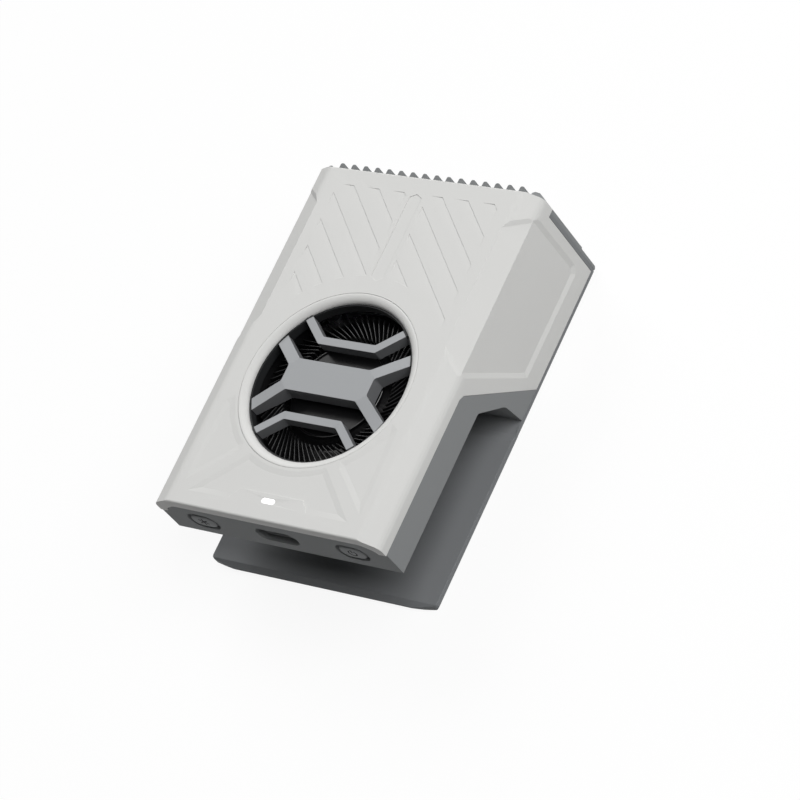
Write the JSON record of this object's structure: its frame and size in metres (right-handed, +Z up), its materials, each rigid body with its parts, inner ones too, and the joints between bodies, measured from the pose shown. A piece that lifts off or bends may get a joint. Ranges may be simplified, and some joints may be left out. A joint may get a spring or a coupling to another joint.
{
  "type": "thermoelectric cooler",
  "caption": "Clip-on thermoelectric cooler with a spring-loaded clamp plate, a cold plate over the device slot, a grilled fan, push buttons and a charging socket",
  "frame": {"origin": "middle of the footprint at the underside of the clamp plate", "axes": "+Z up out of the fan's intake, -Y out of the face with the buttons and the charging socket, +X to the right when looking at that face from outside"},
  "size_m": [0.0654, 0.0946, 0.0309],
  "materials": {
    "cover_silver": "satin silver",
    "ring_silver": "satin silver",
    "grille_grey": "metallic grey",
    "frame_grey": "fine matt texture",
    "plate_grey": "satin grey",
    "button_grey": "matt",
    "bare_aluminium": "fine milled",
    "sink_aluminium": "milled",
    "soft_pad": "soft",
    "thermal_pad_grey": "soft",
    "ceramic_white": "fired ceramic",
    "leg_metal": "cast alloy",
    "amber_film": "film",
    "housing_black": "moulded",
    "wheel_black": "glossy",
    "lamination_steel": "stacked sheet",
    "winding_copper": "enamelled copper",
    "bush_bronze": "sintered bronze",
    "ground_steel": "ground",
    "magnet_grey": "coated",
    "board_green": "solder mask",
    "socket_steel": "drawn steel",
    "socket_black": "moulded",
    "clear_guide": "frosted",
    "led_yellow": "phosphor",
    "switch_black": "moulded",
    "plunger_ivory": "moulded",
    "screw_black": "black oxide",
    "screw_zinc": "zinc",
    "cap_grey": "moulded",
    "spring_steel": "drawn wire"
  },
  "bodies": {
    "cooler": {"top_shell": "cover_silver", "fan_ring": "ring_silver", "grille": "grille_grey", "base_frame": "frame_grey", "cold_plate": "bare_aluminium", "cold_pad": "thermal_pad_grey", "gasket": "soft_pad", "tec_cold_face": "ceramic_white", "tec_legs": "leg_metal", "tec_hot_face": "ceramic_white", "tec_flex": "amber_film", "heat_sink": "sink_aluminium", "fan_housing": "housing_black", "stator_core": "lamination_steel", "stator_coils": "winding_copper", "bearing_sleeve": "bush_bronze", "main_board": "board_green", "usb_shell": "socket_steel", "usb_tongue": "socket_black", "led_chip": "led_yellow", "light_pipe": "clear_guide", "mode_switch": "switch_black", "power_switch": "switch_black", "guide_bushes": "bush_bronze", "case_screws": "screw_black", "sink_screws": "screw_zinc", "cold_plate_screws": "screw_zinc", "fan_screws": "screw_zinc", "board_screws": "screw_zinc", "spring_left": "spring_steel", "spring_right": "spring_steel"},
    "jaw": {"clamp_plate": "plate_grey", "grip_wall": "frame_grey", "grip_screws": "screw_black", "jaw_pad": "soft_pad", "guide_rods": "ground_steel", "rod_caps": "cap_grey"},
    "rotor": {"fan_wheel": "wheel_black", "rotor_magnet": "magnet_grey", "fan_shaft": "ground_steel"},
    "mode_key": {"mode_button": "button_grey", "mode_plunger": "plunger_ivory"},
    "power_key": {"power_button": "button_grey", "power_plunger": "plunger_ivory"}
  },
  "joints": [
    {"name": "jaw_slide", "type": "slide", "parent": "cooler", "child": "jaw", "axis": [0, 0, -1], "range_m": [0, 0.012], "stiffness_N_per_m": 1000, "springref_m": -0.006, "deforming": ["spring_left", "spring_right"]},
    {"name": "fan_spin", "type": "hinge", "parent": "cooler", "child": "rotor", "pos_m": [0, -0.0095, 0.024], "axis": [0, 0, 1], "continuous": true},
    {"name": "mode_press", "type": "slide", "parent": "cooler", "child": "mode_key", "axis": [0, 1, 0], "range_m": [0, 0.0004], "stiffness_N_per_m": 300, "springref_m": -0.001},
    {"name": "power_press", "type": "slide", "parent": "cooler", "child": "power_key", "axis": [0, 1, 0], "range_m": [0, 0.0004], "stiffness_N_per_m": 300, "springref_m": -0.001}
  ]
}
